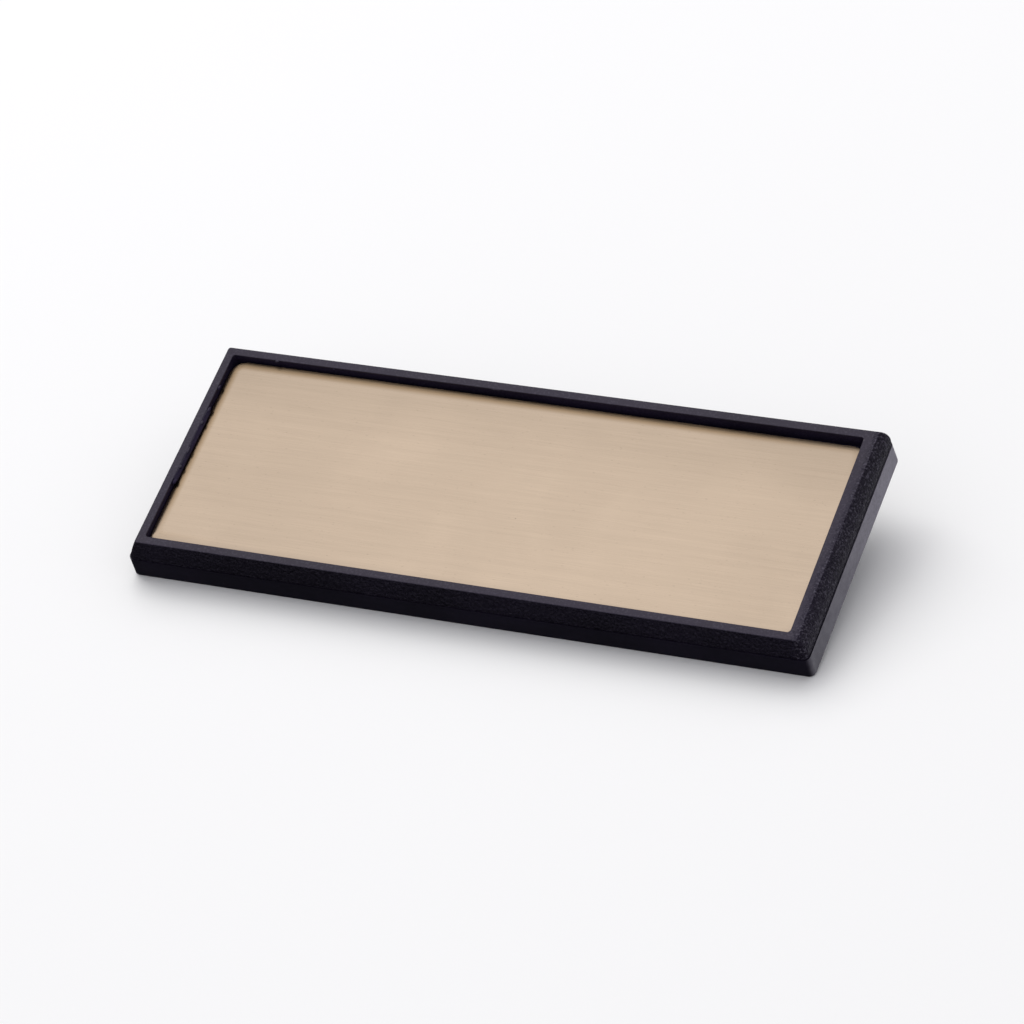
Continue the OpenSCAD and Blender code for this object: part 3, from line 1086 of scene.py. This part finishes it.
def plate_material(colour, p):
    """Champagne-coloured sheet, brushed along its length, with painted shade: darker towards its ends
    and towards its upper edge, and a painted wall shadow along its left and upper edges.
    """
    material, shader, place = start_material("brushed plate")
    brushed = use_group("brush lines", place)
    clouds = use_group("flow marks", place)["Clouds"]
    dust = use_group("dust", place, Spacing=2.6, Size=0.06)["Specks"]
    parts = parts_of(place)
    to_ends = calculate("ABSOLUTE", parts[0])
    # The brush lines and streaks, with painted shade that darkens the plate towards its ends and
    # towards its upper edge
    shade = times(
        between(brushed["Lines"], 0.3, 0.7, low=0.94, high=1.04),
        between(brushed["Streaks"], 0.3, 0.7, low=0.98, high=1.015),
        between(to_ends, 10.0, 38.0, low=1.0, high=0.94),
        between(parts[1], 2.0, 14.0, low=1.0, high=0.87),
    )
    grey = add_node("CombineColor", {0: shade, 1: shade, 2: shade}).outputs[0]
    tan = tuple(part * share for part, share in zip(colour, WALL_SHADOW_TAN))
    base = blend(clouds, rgba(colour, 0.97), rgba(colour, 1.02))
    # A painted shadow and reflection of the frame's inner wall, tan, along the plate's left and upper
    # edges
    base = blend(painted_wall_shadow_mask(material.node_tree, p), base, rgba(tan))
    base = blend(1.0, base, grey, "MULTIPLY")
    base = blend(times(brushed["Pits"], 0.28), base, rgba(colour, 0.3))
    tangent = add_node(
        "Tangent", {}, material.node_tree, direction_type="UV_MAP", uv_map=BRUSH_MAP
    )
    fill(shader, {
        "Base Color": blend(times(dust, 0.55), base, METAL_DUST),
        "Roughness": between(brushed["Lines"], 0.25, 0.75, low=0.27, high=0.35),
        "Normal": bump(brushed["Lines"], 0.004), "Tangent": tangent.outputs[0],
        "Metallic": 1.0, "Anisotropic": 0.55, "Anisotropic Rotation": 0.25,
    })
    return material


def steel_material(colour):
    """Bright drawn wire."""
    material, shader, place = start_material("needle steel")
    drawn = use_group("brush lines", place, Line=0.04, Streak=0.2)
    streaks = between(drawn["Streaks"], 0.35, 0.7)
    base = blend(streaks, rgba(colour, 0.86), rgba(colour, 1.05))
    fill(shader, {
        "Base Color": blend(times(drawn["Pits"], 0.5), base, rgba(colour, 0.4)),
        "Roughness": between(drawn["Lines"], 0.3, 0.7, low=0.16, high=0.3),
        "Normal": bump(drawn["Lines"], 0.002), "Metallic": 1.0,
    })
    return material


def floor_material(colour):
    """Smooth pale paper."""
    material, shader, place = start_material("pale paper")
    fibres = noise(place, 2.0, detail=3.0)
    clouds = between(noise(place, 0.01), 0.3, 0.7)
    fill(shader, {
        "Base Color": blend(clouds, rgba(colour, 0.995), rgba(colour)),
        "Roughness": between(fibres, 0.3, 0.7, low=0.85, high=0.95),
        "Normal": bump(fibres, 0.004), "Specular IOR Level": 0.2,
    })
    return material


# The studio's even light, as (way, start and end of its fade, colour): low behind the badge,
# overhead, and brighter overhead towards the back and the left
SKY_DARK = (0.03, 0.03, 0.035, 1)
SKY_LIGHTS = (
    ((0.45, 0.6, -0.66), 0.55, 0.95, (0.62, 0.62, 0.66, 1)),
    ((0, 0, 1), -0.05, 0.55, (0.62, 0.62, 0.65, 1)),
    ((-0.3, 0.3, 0.9), 0.72, 0.98, (1.0, 0.985, 0.96, 1)),
)


def studio_world(s):
    world = bpy.data.worlds.new("studio")
    world.use_nodes = True
    tree = world.node_tree
    tree.nodes.clear()
    way = tree.nodes.new("ShaderNodeTexCoord").outputs["Generated"]
    light = SKY_DARK
    for middle_way, start, end, colour in SKY_LIGHTS:
        unit = Vector(middle_way).normalized()
        towards = vector_node("DOT_PRODUCT", way, unit).outputs["Value"]
        light = blend(between(towards, start, end), light, colour)
    background = add_node("Background", {"Color": light, "Strength": s.sky_strength})
    add_node("OutputWorld", {"Surface": background.outputs[0]})
    return world


# Operators


class MESH_OT_badge_frame(bpy.types.Operator):
    """Makes the black moulding with its pin blocks"""

    bl_idname = "mesh.badge_frame"
    bl_label = "Moulded frame"

    def execute(self, context):
        scene = context.scene
        s = frame_sizes(scene.badge_frame_settings)
        b = in_millimetres(scene.badge_block_settings)
        n = in_millimetres(scene.badge_needle_settings)
        piece = frame_body(s)
        for part in (catch_block(b), hinge_block(b, n), plate_lugs(s), mould_lumps()):
            combine(piece, part, "UNION")
        combine(piece, frame_hollows(s, scene.badge_frame_settings.rib_count), "DIFFERENCE")
        soften_cuts(piece)
        materials = frame_materials(s, scene.badge_frame_settings.plastic)
        lay_down(piece, materials, frame_finish(s, b))
        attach(piece, "badge")
        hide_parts("badge_frame")
        return {"FINISHED"}


class MESH_OT_badge_plate(bpy.types.Operator):
    """Makes the brushed plate"""

    bl_idname = "mesh.badge_plate"
    bl_label = "Brushed plate"

    def execute(self, context):
        settings = context.scene.badge_plate_settings
        p = in_millimetres(settings)
        piece = make_plate(p, settings.turn)
        lay_down(piece, [plate_material(settings.metal, p)])
        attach(piece, "badge")
        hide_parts("face_plate")
        return {"FINISHED"}


class MESH_OT_badge_needle(bpy.types.Operator):
    """Makes the sprung needle"""

    bl_idname = "mesh.badge_needle"
    bl_label = "Needle"

    def execute(self, context):
        settings = context.scene.badge_needle_settings
        piece = make_needle(in_millimetres(settings))
        lay_down(piece, [steel_material(settings.steel)])
        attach(piece, "needle")
        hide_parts("pin_needle")
        return {"FINISHED"}


# In metres; the key light points at the badge
FLOOR_HALF = 2
KEY_SIZE = 0.9
KEY_PLACE = (-0.5, 0.45, 0.9)


class SCENE_OT_badge_stage(bpy.types.Operator):
    """Sets the camera, the floor and the light"""

    bl_idname = "scene.badge_stage"
    bl_label = "Stage"

    def execute(self, context):
        scene = context.scene
        settings = scene.badge_stage_settings
        camera = add_object("camera", bpy.data.cameras.new("camera"))
        camera.data.lens = settings.lens
        camera.location = settings.camera_place
        camera.rotation_euler = settings.camera_turn
        scene.camera = camera
        bm = bmesh.new()
        bmesh.ops.create_grid(bm, x_segments=1, y_segments=1, size=FLOOR_HALF)
        floor = add_object("floor", new_mesh("floor", bm))
        floor.data.materials.append(floor_material(settings.floor_colour))
        floor.visible_glossy = False
        key = add_object("key", bpy.data.lights.new("key", "AREA"))
        key.data.energy = settings.key_power
        key.data.size = KEY_SIZE
        key.location = KEY_PLACE
        key.rotation_euler = (-key.location).to_track_quat("-Z", "Y").to_euler()
        key.visible_glossy = False
        scene.world = studio_world(settings)
        scene.view_settings.view_transform = "Standard"
        return {"FINISHED"}


OPERATORS = (
    MESH_OT_badge_frame,
    MESH_OT_badge_plate,
    MESH_OT_badge_needle,
    SCENE_OT_badge_stage,
)


class VIEW3D_PT_badge(bpy.types.Panel):
    """Lists the badge's operators"""

    bl_label = "Name badge"
    bl_idname = "VIEW3D_PT_badge"
    bl_space_type = "VIEW_3D"
    bl_region_type = "UI"
    bl_category = "Badge"

    def draw(self, context):
        for operator in OPERATORS:
            self.layout.operator(operator.bl_idname)


CLASSES = (*SETTINGS.values(), *OPERATORS, VIEW3D_PT_badge)


def register():
    for item in CLASSES:
        bpy.utils.register_class(item)
    for name, group in SETTINGS.items():
        setattr(bpy.types.Scene, name, bpy.props.PointerProperty(type=group))


def unregister():
    for name in SETTINGS:
        delattr(bpy.types.Scene, name)
    for item in reversed(CLASSES):
        bpy.utils.unregister_class(item)


def main():
    register()
    bpy.ops.mesh.badge_frame()
    bpy.ops.mesh.badge_plate()
    bpy.ops.mesh.badge_needle()
    bpy.ops.scene.badge_stage()


if __name__ == "__main__":
    main()
